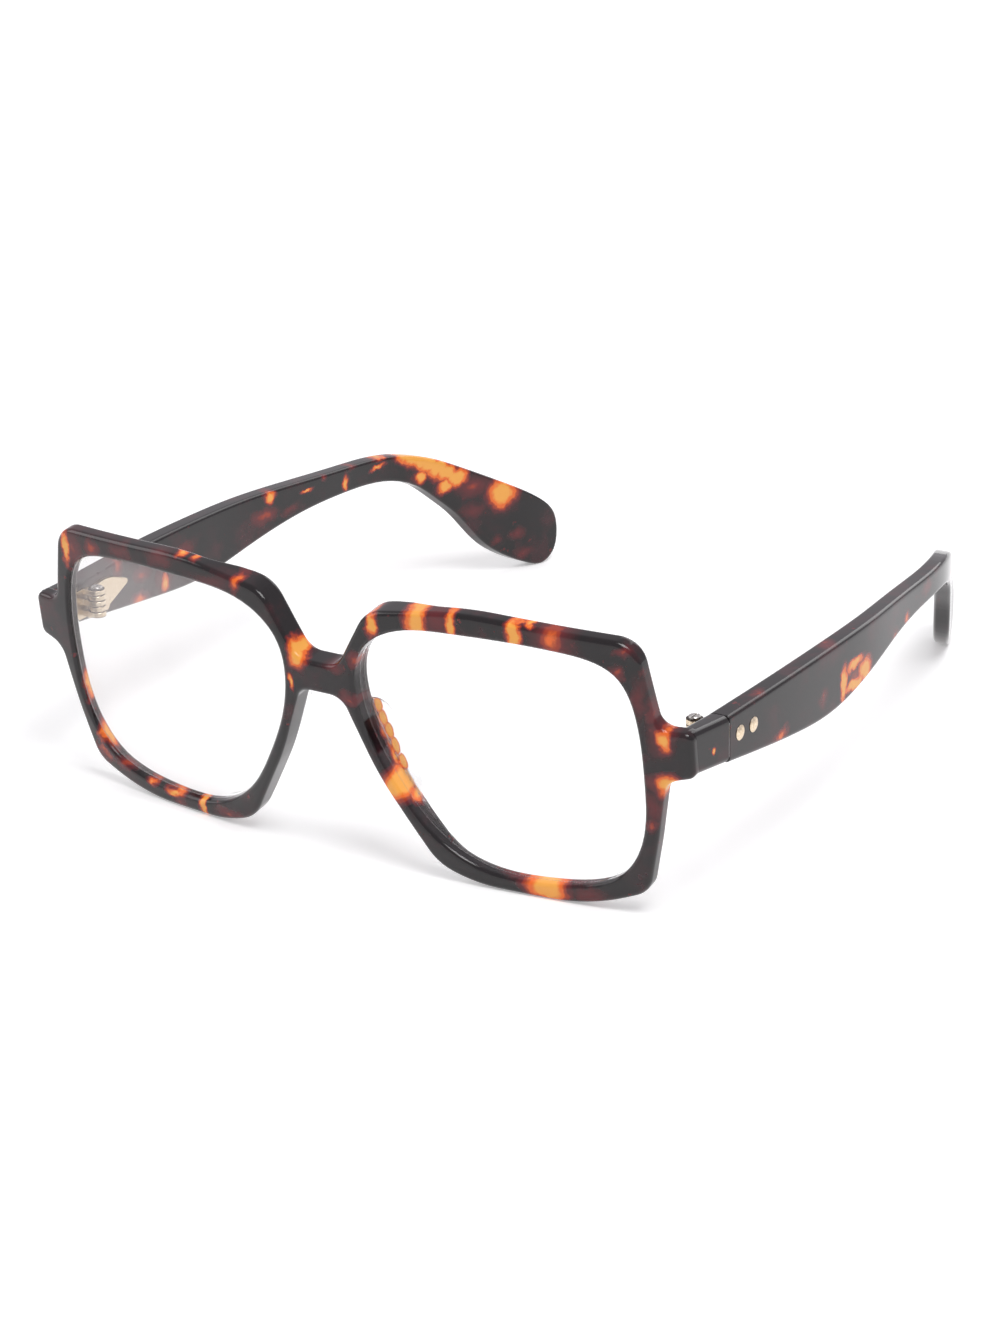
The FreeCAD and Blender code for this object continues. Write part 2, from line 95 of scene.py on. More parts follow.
class Graph:
    """The node tree of one finish, or of the world."""

    def __init__(self, owner):
        self.owner = owner
        self.owner.use_nodes = True
        self.tree = owner.node_tree
        self.tree.nodes.clear()

    def node(self, kind, settings=None, **values):
        """Adds a node. Settings go on first, then the values or links of its sockets."""
        made = self.tree.nodes.new(kind)
        for key, value in (settings or {}).items():
            setattr(made, key, value)
        for key, value in values.items():
            place = int(key[1:]) if key[0] == "i" and key[1:].isdigit() else key.replace("_", " ")
            socket = made.inputs[place]
            if isinstance(value, Wire):
                self.tree.links.new(value.socket, socket)
            else:
                socket.default_value = value
        return made

    def out(self, made, place=0):
        return Wire(self, made.outputs[place])

    def maths(self, operation, first, second=0.0, third=0.0):
        made = self.node("ShaderNodeMath", {"operation": operation}, i0=first, i1=second, i2=third)
        return self.out(made)

    def vector(self, operation, first, second=(0.0, 0.0, 0.0), third=(0.0, 0.0, 0.0), place=0):
        made = self.node("ShaderNodeVectorMath", {"operation": operation}, i0=first, i1=second, i2=third)
        return self.out(made, place)

    def mix(self, factor, first, second):
        made = self.node("ShaderNodeMix", {"data_type": "RGBA"}, i0=factor, i6=first, i7=second)
        return self.out(made, 2)

    def noise(self, where, scale, detail=2.0, rough=0.5, place=0):
        made = self.node("ShaderNodeTexNoise", Vector=where, Scale=scale, Detail=detail, Roughness=rough)
        return self.out(made, place)

    def step(self, value, low, high):
        """0 at low, 1 at high, eased between. It falls where high is the lower one."""
        made = self.node("ShaderNodeMapRange", {"interpolation_type": "SMOOTHSTEP"},
                         Value=value, From_Min=low, From_Max=high)
        return self.out(made)

    def either(self, factor, first, second):
        """The first shader where the factor is 0 and the second where it is 1."""
        return self.node("ShaderNodeMixShader", Fac=factor, i1=self.out(first), i2=self.out(second))

    def finish(self, shader, end="ShaderNodeOutputMaterial"):
        """Ends the tree in a shader's node and gives back what it belongs to."""
        self.node(end, Surface=self.out(shader))
        return self.owner


def rgba(colour):
    return (*colour, 1.0)


# ---------------------------------------------------------------- finishes

# Patches in the sheet, in millimetres in the frame's own axes: centre, half sizes, dullness.
# At 0 a patch is bright amber in the middle, at 0.65 orange, at 0.9 red, at 1.05 maroon.
FRONT_PATCHES = (
    ((21.0, -76.5, 51.4), (2.5, 8.0, 4.6), 0.0),
    ((25.2, -76.5, 52.0), (3.0, 8.0, 3.4), 1.0),
    ((27.8, -76.5, 51.6), (1.3, 8.0, 3.4), 0.05),
    ((39.4, -75.5, 51.8), (1.3, 8.0, 3.8), 0.0),
    ((41.6, -74.6, 54.2), (2.4, 5.0, 0.9), 0.1),
    ((46.2, -75.0, 51.6), (2.6, 8.0, 3.6), 0.66),
    ((46.4, -75.0, 51.8), (4.4, 8.0, 4.4), 1.02),
    ((12.1, -78.0, 49.4), (1.3, 8.0, 2.8), 0.0),
    ((8.2, -78.0, 41.7), (1.5, 6.0, 2.0), 0.86),
    ((6.6, -78.0, 33.8), (2.8, 6.0, 1.4), 0.96),
    ((13.4, -73.0, 17.8), (2.7, 8.0, 3.4), 0.0),
    ((9.6, -71.6, 27.0), (1.4, 1.8, 3.2), 0.0),
    ((11.6, -71.6, 22.4), (1.6, 1.8, 3.2), 0.0),
    ((15.4, -71.2, 15.0), (1.7, 1.8, 2.4), 0.0),
    ((40.7, -69.0, 2.4), (4.6, 8.0, 2.6), 0.0),
    ((48.4, -67.0, 2.6), (4.0, 3.0, 2.2), 0.86),
    ((36.0, -68.6, 3.2), (6.0, 1.8, 1.2), 0.88),
    ((64.9, -70.5, 35.7), (1.3, 4.0, 2.6), 0.15),
    ((64.6, -70.5, 36.2), (2.6, 4.0, 4.0), 1.0),
    ((65.4, -69.5, 26.9), (2.7, 4.0, 2.6), 0.05),
    ((63.6, -69.5, 27.4), (3.0, 4.0, 2.0), 0.94),
    ((61.8, -69.5, 19.0), (1.2, 3.0, 1.5), 0.88),
    ((62.4, -70.0, 22.6), (2.0, 4.0, 4.2), 1.06),
    ((58.4, -73.7, 50.8), (1.5, 3.0, 1.0), 0.94),
    ((57.6, -73.6, 47.4), (1.3, 3.0, 1.5), 0.88),
    ((60.9, -72.0, 43.0), (1.6, 4.0, 4.2), 1.04),
    ((62.4, -71.5, 47.0), (0.9, 4.0, 2.4), 0.96),
    ((63.2, -71.6, 40.8), (1.2, 3.0, 2.6), 0.94),
    ((-4.2, -79.0, 39.9), (2.0, 3.6, 2.6), 0.0),
    ((-4.8, -76.4, 41.2), (1.4, 4.2, 2.9), 0.0),
    ((-6.0, -77.5, 34.6), (0.7, 4.0, 1.6), 0.2),
    ((3.6, -78.4, 39.4), (2.6, 4.0, 1.4), 1.02),
    ((-58.9, -73.5, 49.0), (1.3, 4.0, 3.6), 0.05),
    ((-57.0, -73.5, 49.0), (3.2, 4.0, 3.8), 0.96),
    ((-51.8, -74.5, 50.6), (1.8, 5.0, 1.9), 0.82),
    ((-44.0, -75.0, 51.5), (3.0, 5.0, 1.9), 1.02),
    ((-16.5, -78.0, 51.5), (1.1, 5.0, 2.4), 0.6),
    ((-29.7, -76.0, 54.0), (1.3, 3.0, 0.8), 0.4),
    ((-26.3, -75.8, 54.0), (1.2, 3.0, 0.8), 0.4),
    ((-34.0, -76.5, 52.5), (3.6, 5.0, 2.0), 1.02),
    ((-22.0, -76.5, 50.5), (4.0, 5.0, 1.6), 1.06),
    ((-45.6, -69.0, 3.8), (1.5, 5.0, 1.0), 0.5),
    ((-39.6, -69.8, 3.0), (2.4, 5.0, 1.1), 0.25),
    ((-38.6, -70.5, 1.2), (2.2, 5.0, 1.6), 0.95),
    ((-32.6, -71.0, 2.2), (1.0, 6.0, 2.6), 0.0),
    ((-26.0, -71.0, 2.2), (3.4, 5.0, 1.4), 0.94),
    ((-60.4, -67.6, 19.9), (1.0, 1.6, 4.0), 0.1),
    ((-57.0, -67.2, 9.4), (2.4, 1.6, 5.0), 0.1),
    ((-52.0, -68.0, 5.6), (4.0, 1.5, 1.6), 0.86),
    ((70.4, -63.4, 32.3), (1.2, 0.75, 0.75), 0.0),
)
TEMPLE_PATCHES = (
    ((72.0, -17.9, 28.2), (6.0, 1.5, 3.9), 0.0),
    ((71.8, -13.4, 30.4), (6.0, 4.4, 1.1), 0.15),
    ((71.7, -8.8, 27.8), (6.0, 3.2, 2.6), 0.0),
    ((71.9, -13.4, 26.6), (6.0, 4.6, 1.5), 0.0),
    ((71.8, -13.4, 28.2), (6.0, 4.8, 3.0), 0.92),
    ((72.0, -26.0, 28.3), (4.0, 2.0, 1.8), 0.95),
    ((71.7, -41.6, 27.2), (4.0, 3.0, 1.3), 0.66),
    ((69.6, 13.2, 29.9), (4.0, 1.6, 1.6), 0.66),
    ((70.4, 6.4, 29.0), (4.0, 2.2, 1.2), 0.88),
    ((70.1, -47.2, 36.9), (1.5, 2.4, 0.8), 0.92),
    ((69.8, -21.4, 36.7), (1.5, 2.6, 0.8), 0.92),
    ((-67.5, -48.4, 35.5), (4.0, 1.8, 2.8), 0.8),
    ((-67.9, -40.9, 31.5), (4.0, 3.2, 2.0), 0.88),
    ((-68.1, -33.6, 27.4), (4.0, 1.6, 2.3), 0.25),
    ((-68.1, -34.0, 28.4), (4.0, 3.6, 3.6), 1.0),
    ((-67.9, -42.0, 26.4), (4.0, 3.2, 1.9), 0.6),
    ((-68.2, -27.0, 31.8), (4.0, 4.0, 2.0), 1.0),
    ((-67.3, 1.2, 34.8), (3.0, 2.0, 1.5), 0.15),
    ((-67.2, -0.8, 31.2), (3.0, 4.2, 1.9), 0.86),
    ((-66.9, 7.0, 30.2), (3.0, 3.0, 1.2), 1.04),
    ((-66.1, 12.3, 32.9), (3.0, 2.2, 0.55), 0.25),
    ((-65.5, 18.0, 34.2), (3.0, 1.0, 0.9), 0.92),
    ((-64.9, 24.5, 31.3), (3.0, 1.1, 2.1), 0.15),
    ((-65.4, 26.9, 34.2), (4.0, 1.6, 1.1), 0.88),
    ((-64.2, 36.2, 33.7), (4.5, 2.8, 1.0), 0.1),
    ((-63.5, 34.3, 31.8), (3.0, 2.6, 0.6), 0.35),
    ((-61.5, 42.1, 32.6), (4.5, 3.2, 1.7), 0.0),
    ((-60.8, 43.8, 31.7), (4.5, 3.0, 1.9), 0.0),
    ((-60.0, 45.5, 30.6), (4.5, 3.2, 2.1), 0.0),
    ((-59.2, 47.5, 29.4), (4.5, 3.2, 2.3), 0.0),
    ((-58.3, 49.6, 28.0), (4.5, 3.2, 2.5), 0.0),
    ((-57.4, 51.7, 26.5), (4.5, 3.2, 2.6), 0.0),
    ((-56.4, 53.9, 24.9), (4.5, 3.0, 2.6), 0.0),
    ((-60.0, 45.5, 26.9), (3.0, 1.9, 1.4), 0.05),
    ((-57.7, 51.0, 23.2), (3.0, 2.2, 1.6), 0.05),
    ((-54.9, 57.6, 22.0), (4.5, 4.6, 2.6), 0.92),
    ((-51.7, 64.7, 18.9), (4.0, 4.3, 3.7), 0.0),
    ((-51.6, 64.6, 19.2), (4.5, 5.0, 5.0), 0.98),
    ((-50.2, 68.1, 8.5), (3.0, 2.4, 1.7), 1.0),
    ((-49.7, 69.3, 3.9), (3.0, 2.8, 1.3), 1.0),
    ((-52.4, 62.9, 8.4), (3.0, 1.6, 1.3), 1.04),
    ((-54.8, 57.6, 16.4), (3.0, 5.0, 1.9), 1.06),
    ((-68.0, 40.0, 27.0), (1.6, 5.0, 1.6), 0.1),
    ((60.0, 44.0, 27.0), (4.0, 5.0, 1.6), 0.1),
    ((52.5, 62.0, 14.0), (4.0, 3.0, 3.0), 0.3),
    ((67.0, 24.0, 32.0), (3.5, 3.0, 1.5), 0.88),
    ((-73.4, -33.0, 28.6), (2.6, 3.6, 3.0), 0.0),
    ((-73.6, -27.4, 31.0), (2.6, 3.6, 1.6), 0.4),
    ((-73.6, -30.0, 28.0), (2.6, 5.0, 4.4), 0.96),
    ((-73.2, -6.0, 27.6), (2.6, 2.4, 2.0), 0.1),
    ((-73.0, 3.0, 31.6), (2.8, 4.4, 1.8), 0.0),
    ((-72.6, 7.0, 30.4), (2.8, 3.6, 2.4), 0.92),
    ((-71.0, 24.0, 33.0), (2.6, 2.6, 1.4), 0.66),
    ((-66.0, 44.0, 29.0), (3.2, 3.6, 2.4), 0.0),
    ((-64.2, 48.0, 26.6), (3.2, 4.0, 2.6), 0.2),
    ((-57.0, 64.0, 16.0), (3.0, 3.6, 3.4), 0.3),
)
# Where the rim's amber shows through the clear pad on the wearer's left.
PAD_PATCHES = (
    ((8.3, -71.9, 31.0), (0.8, 1.1, 1.7), 0.0),
    ((9.3, -71.8, 28.8), (0.9, 1.1, 1.9), 0.0),
    ((10.2, -71.5, 26.4), (0.9, 1.1, 1.9), 0.0),
    ((11.4, -71.3, 23.8), (0.9, 1.1, 2.0), 0.0),
    ((12.6, -71.0, 20.8), (0.8, 1.1, 2.0), 0.0),
)
HALO = 1.35         # where a patch's maroon halo ends, in half sizes
OUT_OF_REACH = 9.0  # farther than any halo
JOINT_DARK = (0.05, 0.035, 0.025, 1.0)      # the shade between two hinge barrels


def millimetres(g):
    """The piece's own coordinates, in millimetres."""
    own = g.out(g.node("ShaderNodeTexCoord"), "Object")
    return g.out(g.node("ShaderNodeVectorMath", {"operation": "SCALE"}, i0=own, Scale=1.0 / MM))


def nearest(g, where, patches):
    """How far off the nearest patch is, in its half sizes: 0 in its middle, 1 on its edge.
    A dull patch starts from its dullness in place of 0."""
    near = OUT_OF_REACH
    for centre, half, dull in patches:
        away = g.vector("SUBTRACT", where, centre)
        reach = g.vector("LENGTH", g.vector("MULTIPLY", away, [1.0 / h for h in half]), place="Value")
        if dull:
            reach = reach * (1.0 - dull / HALO) + dull
        near = g.maths("MINIMUM", reach, near)
    return near


def tortoise(name, patches, colours):
    """Near-black brown sheet with crisp amber patches in maroon halos, polished."""
    g = Graph(bpy.data.materials.new(name))
    at = millimetres(g)
    swirl = g.vector("SUBTRACT", g.noise(at, 0.30, 2.0, 0.5, "Color"), (0.5, 0.5, 0.5))
    grain = g.vector("SUBTRACT", g.noise(at, 1.1, 3.0, 0.6, "Color"), (0.5, 0.5, 0.5))
    warped = g.vector("MULTIPLY_ADD", swirl, (2.6, 2.6, 2.6), at)
    warped = g.vector("MULTIPLY_ADD", grain, (0.9, 0.9, 0.9), warped)
    near = nearest(g, warped, patches)
    clouds = g.step(g.noise(at, 0.13, 4.0, 0.62), 0.47, 0.68)
    dark = g.mix(clouds, rgba(colours.base), rgba(colours.brown))
    flecks = g.step(g.noise(at, 0.42, 3.0, 0.6), 0.66, 0.72)
    dark = g.mix(flecks, dark, rgba(colours.maroon))
    # The patches, from the edge of the halo inwards.
    body = g.mix(g.step(near, HALO, 1.02), dark, rgba(colours.maroon))
    body = g.mix(g.step(near, 1.06, 0.92), body, rgba(colours.red))
    body = g.mix(g.step(near, 0.90, 0.74), body, rgba(colours.orange))
    body = g.mix(g.step(near, 0.72, 0.45), body, rgba(colours.amber))
    rounded = g.out(g.node("ShaderNodeBevel", {"samples": 6}, Radius=0.45 * MM))
    ripple = g.out(g.node("ShaderNodeBump", Strength=0.03, Distance=0.02 * MM,
                          Height=g.noise(at, 0.8, 1.0), Normal=rounded))
    return g.finish(g.node("ShaderNodeBsdfPrincipled", Base_Color=body,
                           Roughness=0.05 + g.noise(at, 2.0) * 0.05, Normal=ripple, IOR=1.47))


def clear_acetate(colours):
    """Water-clear acetate of the nose pads: a faint grey body, the rim's amber showing through."""
    g = Graph(bpy.data.materials.new("clear_acetate"))
    at = millimetres(g)
    body = g.mix(g.noise(at, 0.3, 2.0), rgba(colours.crystal), WHITE)
    clear = g.node("ShaderNodeBsdfPrincipled", Base_Color=body, Roughness=0.06 + g.noise(at, 1.5) * 0.04,
                   Transmission_Weight=0.95, IOR=1.47)
    ragged = nearest(g, at, PAD_PATCHES) + (g.noise(at, 0.8, 2.0) - 0.5) * 0.5
    tint = g.mix(g.step(ragged, 1.0, 0.6), rgba(colours.orange), rgba(colours.amber))
    amber = g.node("ShaderNodeBsdfPrincipled", Base_Color=tint, Roughness=0.10 + g.noise(at, 1.5) * 0.04)
    return g.finish(g.either(g.step(ragged, 1.15, 0.9), clear, amber))


def clear_lens(colours):
    """Demo lens: clear under a thin grey veil, with a painted reflection that makes the veil heavier
    towards the wearer's right.
    """
    g = Graph(bpy.data.materials.new("clear_lens"))
    at = millimetres(g)
    body = g.mix(g.noise(at, 0.05, 1.0), rgba(colours.lens), WHITE)
    glass = g.node("ShaderNodeBsdfPrincipled", Base_Color=body, Roughness=g.noise(at, 0.1) * 0.01,
                   Transmission_Weight=1.0, IOR=1.03)
    film_and_reflection = g.node("ShaderNodeBsdfDiffuse", Color=rgba(colours.haze_and_reflection))
    across = g.out(g.node("ShaderNodeSeparateXYZ", Vector=at), "X")
    # How much grey veil: thin and uneven all over, plus a painted reflection that grows from x 10 mm to x
    # -55 mm, towards the wearer's right.
    thickness = 0.03 + g.noise(at, 0.06, 2.0) * 0.05 + g.step(across, 10.0, -55.0) * 0.15
    return g.finish(g.either(thickness, glass, film_and_reflection))


def barrel_joint(g, at):
    """1 in the dark joints between the hinge barrels, easing to 0 on the barrels."""
    place = g.node("ShaderNodeSeparateXYZ", Vector=at)
    across = g.maths("ABSOLUTE", g.out(place, "X")) - PIN.x / MM
    along = g.out(place, "Y") - PIN.y / MM
    away = g.maths("SQRT", across * across + along * along)
    count = (g.out(place, "Z") - (PIN.z / MM - BARREL_GAP / 2)) / BARREL_PITCH
    off = g.maths("ABSOLUTE", count - g.maths("ROUND", count)) * BARREL_PITCH
    return g.step(off, 0.22, 0.04) * g.step(away, 1.75, 1.6)


def metal(name, colour, dark, rough, jointed=False):
    """Plated metal with fine brushing and darker specks, jointed round the hinge pins."""
    g = Graph(bpy.data.materials.new(name))
    at = millimetres(g)
    grain = g.noise(at, 3.0, 4.0, 0.6)
    body = g.mix(g.step(grain, 0.3, 0.75), rgba(dark), rgba(colour))
    height = g.noise(at, 8.0, 2.0) * 0.05
    if jointed:
        joint = barrel_joint(g, at)
        body = g.mix(g.step(joint, 0.35, 0.9), body, JOINT_DARK)
        height = height - joint
    rounded = g.out(g.node("ShaderNodeBevel", {"samples": 4}, Radius=0.12 * MM))
    bump = g.out(g.node("ShaderNodeBump", Strength=0.8, Distance=0.15 * MM, Height=height, Normal=rounded))
    return g.finish(g.node("ShaderNodeBsdfPrincipled", Base_Color=body, Metallic=1.0,
                           Roughness=rough + grain * 0.12, Normal=bump))


# ---------------------------------------------------------------- shapes

# The front, in millimetres on its own upright drawing. The opening's outline is in parts of its
# width and height. The front's own outline is its +X half: across, up, radius of the corner.
EYE_WIDTH, EYE_HEIGHT, EYE_GAP, EYE_DROP = 53.3, 47.3, 15.0, 23.8
EYE_SHAPE = (
    (1.000, 0.503), (0.989, 0.735), (0.925, 0.917), (0.743, 0.985), (0.374, 1.000),
    (0.117, 0.949), (0.028, 0.858), (0.004, 0.657), (0.111, 0.338), (0.237, 0.135),
    (0.383, 0.029), (0.634, 0.004), (0.891, 0.088), (0.974, 0.243),
)
OUTLINE = (
    (4.5, 7.5, 3.6), (10.3, -7.0, 60.0), (19.9, -23.6, 9.0), (27.0, -26.5, 25.0),
    (48.5, -27.2, 35.0), (59.8, -22.6, 5.0), (62.4, -11.5, 60.0), (64.6, 0.4, 3.4),
    (69.8, 1.7, 1.6), (69.8, 10.1, 1.6), (63.8, 10.3, 3.0), (60.8, 25.8, 5.2),
    (28.5, 27.9, 60.0), (10.9, 25.2, 6.5), (4.1, 13.4, 4.0),
)
FRONT_RADIUS = 300.0
LEAN = math.radians(7.7)
RIM_DEPTH, BRIDGE_DEPTH = 3.2, 5.2
BRIDGE_REACH, BRIDGE_FADE = 15.0, 11.0      # half width of the thick middle, and its run out

# The temple's thickness at both ends, its outer face (a hair inside the solid's) and its seam.
# SHANK is part of the length, top edge, bottom edge. EAR runs over the top, round the tip and
# back, from the start of the bend. Both bows are the outer face in plan, against TEMPLE_OUT.
TEMPLE_THICK, TIP_THICK, TEMPLE_OUT, SHANK_LENGTH, SEAM = 4.0, 3.2, 70.89, 93.0, 18.2
SHANK = (
    (0.00, 10.7, 2.2), (0.25, 10.8, -1.0), (0.40, 10.6, -1.95), (0.55, 10.2, -0.4),
    (0.75, 9.1, 2.3), (0.92, 8.0, 2.6),
)
EAR = (
    (7.6, 6.4), (14.2, 4.3), (21.1, 0.8), (32.1, -5.5), (40.3, -10.8), (44.1, -14.8),
    (45.0, -19.7), (43.6, -24.3), (40.4, -26.1), (37.0, -25.2), (31.1, -21.9), (26.7, -18.3),
    (20.1, -9.9), (15.6, -5.4), (10.8, -1.3),
)
SHANK_BOW = ((0.0, 0.0), (0.20, 0.9), (0.41, 1.1), (0.58, 0.6), (0.73, -0.8), (0.86, -2.1))
EAR_BOW = ((3.0, -4.5), (12.0, -7.5), (22.0, -11.8), (32.0, -16.3), (41.0, -20.0), (47.0, -21.8))

# Both ends of an end block: its inner and outer side, how far back it is, its foot and top.
BLOCK_FRONT = ((66.4, 69.78), 9.7, (1.72, 10.08))
BLOCK_BACK = ((66.6, TEMPLE_OUT), SEAM - 0.05, (2.2, 10.7))

PAST_SEAM, PAST_RISE = 2.0, 0.25    # how far the temple is drawn past the seam, and its foot's rise there
ARC_TURN, ARC_RUN = 0.15, 2.0       # longest step on an arc, in radians and in millimetres
SAME_PLACE = 1e-4                   # points this near to each other are one
NET_MERGE = 0.02                    # a cut this near to a point goes through the point
SHARP_TURN = math.radians(35.0)     # edges that turn more are shaded sharp


def smooth_run(points, steps, closed=False):
    """Points on the cubic spline through the given ones, with so many steps from each to the next."""
    knots = np.array(points, dtype=float)
    size = len(knots)
    run = np.linalg.norm(np.roll(knots, -1, 0) - knots, axis=1)
    sums = np.eye(size)
    right = np.zeros(knots.shape)
    for i in range(size) if closed else range(1, size - 1):
        after = (i + 1) % size
        sums[i] = 0.0
        sums[i, i - 1] = run[i - 1]
        sums[i, i] = 2 * (run[i - 1] + run[i])
        sums[i, after] = run[i]
        right[i] = 6 * ((knots[after] - knots[i]) / run[i] - (knots[i] - knots[i - 1]) / run[i - 1])
    bend = np.linalg.solve(sums, right)
    out = []
    for i in range(size if closed else size - 1):
        after = (i + 1) % size
        for k in range(steps):
            b = k / steps
            a = 1.0 - b
            lift = ((a ** 3 - a) * bend[i] + (b ** 3 - b) * bend[after]) * run[i] ** 2 / 6
            out.append(tuple(a * knots[i] + b * knots[after] + lift))
    return out if closed else out + [tuple(knots[-1])]


def rounded_loop(corners):
    """Points round a closed outline of corners (across, up, radius) joined by arcs."""
    loop = []
    for i, (x, z, radius) in enumerate(corners):
        at = Vector((x, z))
        back = (Vector(corners[i - 1][:2]) - at).normalized()
        ahead = (Vector(corners[(i + 1) % len(corners)][:2]) - at).normalized()
        half = back.angle(ahead) / 2
        hub = at + (back + ahead).normalized() * (radius / math.sin(half))
        first = at + back * (radius / math.tan(half)) - hub
        last = at + ahead * (radius / math.tan(half)) - hub
        turn = math.pi - 2 * half
        steps = max(2, math.ceil(turn / ARC_TURN), math.ceil(turn * radius / ARC_RUN))
        for k in range(steps + 1):
            share = k / steps
            spoke = (first * math.sin((1 - share) * turn) + last * math.sin(share * turn)) / math.sin(turn)
            loop.append(tuple(hub + spoke))
    return loop


def cut_plate(name, loops, thickness, rounding):
    """Flat plate of the first loop with the others cut out and every long edge rounded."""
    curve = bpy.data.curves.new(name, "CURVE")
    curve.dimensions = "2D"
    curve.fill_mode = "BOTH"
    curve.extrude = thickness / 2 - rounding
    curve.bevel_depth = rounding
    curve.bevel_resolution = 4
    curve.offset = -rounding
    for loop in loops:
        spline = curve.splines.new("POLY")
        spline.points.add(len(loop) - 1)
        for point, (x, z) in zip(spline.points, loop):
            point.co = (x, z, 0.0, 1.0)
        spline.use_cyclic_u = True
    blank = bpy.data.objects.new(name, curve)
    mesh = bpy.data.meshes.new_from_object(blank)
    bpy.data.objects.remove(blank)
    bpy.data.curves.remove(curve)
    return mesh


def depth_at(x):
    """Thickness of the front at a distance x from its middle."""
    fade = min(max((abs(x) - BRIDGE_REACH) / BRIDGE_FADE, 0.0), 1.0)
    return RIM_DEPTH + (BRIDGE_DEPTH - RIM_DEPTH) * (0.5 + 0.5 * math.cos(math.pi * fade))


def placed(point):
    """A point of the drawing, in millimetres, in metres in the frame's axes."""
    return (Vector(point) - PIN_ON_DRAWING) * MM + PIN


def leaned(point):
    """A point of the upright front, on the leaning one."""
    return Matrix.Rotation(LEAN, 3, "X") @ Vector(point)


def bent_front(point, rounding):
    """A point of the front's flat plate on the bent and leaning front."""
    depth = RIM_DEPTH / 2 - point.z
    sag = FRONT_RADIUS - math.sqrt(FRONT_RADIUS ** 2 - point.x ** 2 - point.y ** 2)
    share = min(max((depth - rounding) / (RIM_DEPTH - 2 * rounding), 0.0), 1.0)
    depth += (depth_at(point.x) - RIM_DEPTH) * share
    return placed(leaned((point.x, sag + depth, point.y)))


def temple_outline():
    """The temple seen from its side, drawn a little past the seam."""
    top = [(SEAM + a * SHANK_LENGTH, z) for a, z, _ in SHANK]
    ear = [(SEAM + SHANK_LENGTH + a, z) for a, z in EAR]
    bottom = [(SEAM + a * SHANK_LENGTH, z) for a, _, z in reversed(SHANK)]
    edge = smooth_run(top + ear + bottom, steps=8)
    before = SEAM - PAST_SEAM
    return [(before, edge[0][1])] + edge + [(before, edge[-1][1] + PAST_RISE)]


def bowed_temple(point, bow, side):
    """A point of the temple's flat plate on the bowed temple. Side is 1 for +X, -1 for -X."""
    reach = np.interp(point.x, bow[:, 0], bow[:, 1])
    slope = np.interp(point.x, bow[:, 0], bow[:, 2])
    share = (point.x - SEAM) / (bow[-1, 0] - SEAM)
    thick = (TEMPLE_THICK + (TIP_THICK - TEMPLE_THICK) * share) / TEMPLE_THICK
    depth = (TEMPLE_THICK / 2 - point.z) * thick * math.hypot(1.0, slope)
    spot = placed((reach - depth, point.x, point.y))
    spot.x *= side
    return spot


def net_cut(bm, spacing):
    """Cuts a flat plate into a net, so that it bends smoothly."""
    for axis in (0, 1):
        low = min(vert.co[axis] for vert in bm.verts)
        high = max(vert.co[axis] for vert in bm.verts)
        normal = Vector((1.0 - axis, float(axis), 0.0))
        cuts = int((high - low) / spacing)
        for k in range(1, cuts):
            at = normal * (low + (high - low) * k / cuts)
            bmesh.ops.bisect_plane(bm, geom=bm.verts[:] + bm.edges[:] + bm.faces[:],
                                   dist=NET_MERGE, plane_co=at, plane_no=normal)
    bmesh.ops.remove_doubles(bm, verts=bm.verts, dist=NET_MERGE)


def new_piece(name, bm, mesh, material, body, node):
    """Puts a finished mesh in the scene in the place of a CAD node."""
    for face in bm.faces:
        face.smooth = True
    for edge in bm.edges:
        edge.smooth = edge.calc_face_angle(0.0) < SHARP_TURN
    bm.to_mesh(mesh)
    bm.free()
    mesh.materials.clear()
    mesh.materials.append(material)
    piece = bpy.data.objects.new(name, mesh)
    bpy.context.scene.collection.objects.link(piece)
    even = piece.modifiers.new("even_shading", "WEIGHTED_NORMAL")
    even.keep_sharp = True
    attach(piece, body)
    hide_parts(node)


def dress(node, material):
    """Gives a CAD node its finish."""
    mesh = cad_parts[node].data
    mesh.materials.clear()
    mesh.materials.append(material)


# ---------------------------------------------------------------- sizes and colours

def shade(name, description, default):
    return FloatVectorProperty(name=name, description=description, default=default, size=3,
                               min=0.0, max=1.0, subtype="COLOR")


class EYEWEAR_PG_colours(bpy.types.PropertyGroup):
    base: shade("Base", "Darkest brown of the sheet", (0.007, 0.004, 0.005))
    brown: shade("Brown", "Lighter clouds in the dark", (0.044, 0.008, 0.012))
    maroon: shade("Maroon", "Outer halo of a patch", (0.130, 0.010, 0.014))
    red: shade("Red", "Inner halo of a patch", (0.36, 0.035, 0.010))
    orange: shade("Orange", "Border of the amber", (0.90, 0.155, 0.014))
    amber: shade("Amber", "Middle of a patch", (1.0, 0.44, 0.07))
    crystal: shade("Crystal", "Nose pads", (0.90, 0.92, 0.93))
    lens: shade("Lens", "Demo lenses", (0.97, 0.98, 0.98))
    # Grey of the lens veil, also used for the painted reflection over the wearer's right lens.
    haze_and_reflection: shade("Haze", "Film on the lenses", (0.80, 0.76, 0.75))
    gold: shade("Gold", "Hinges and rivets", (0.86, 0.75, 0.59))
    gold_dark: shade("Dark gold", "Specks in the plating", (0.66, 0.52, 0.36))
    steel: shade("Steel", "Hinge screws", (0.62, 0.60, 0.58))
    steel_dark: shade("Dark steel", "Specks in the screws", (0.40, 0.38, 0.36))
    wire: shade("Wire", "Core wires", (0.70, 0.66, 0.60))
    wire_dark: shade("Dark wire", "Specks in the core wires", (0.50, 0.46, 0.40))
    floor: shade("Floor", "Floor and backdrop", (0.9, 0.9, 0.9))


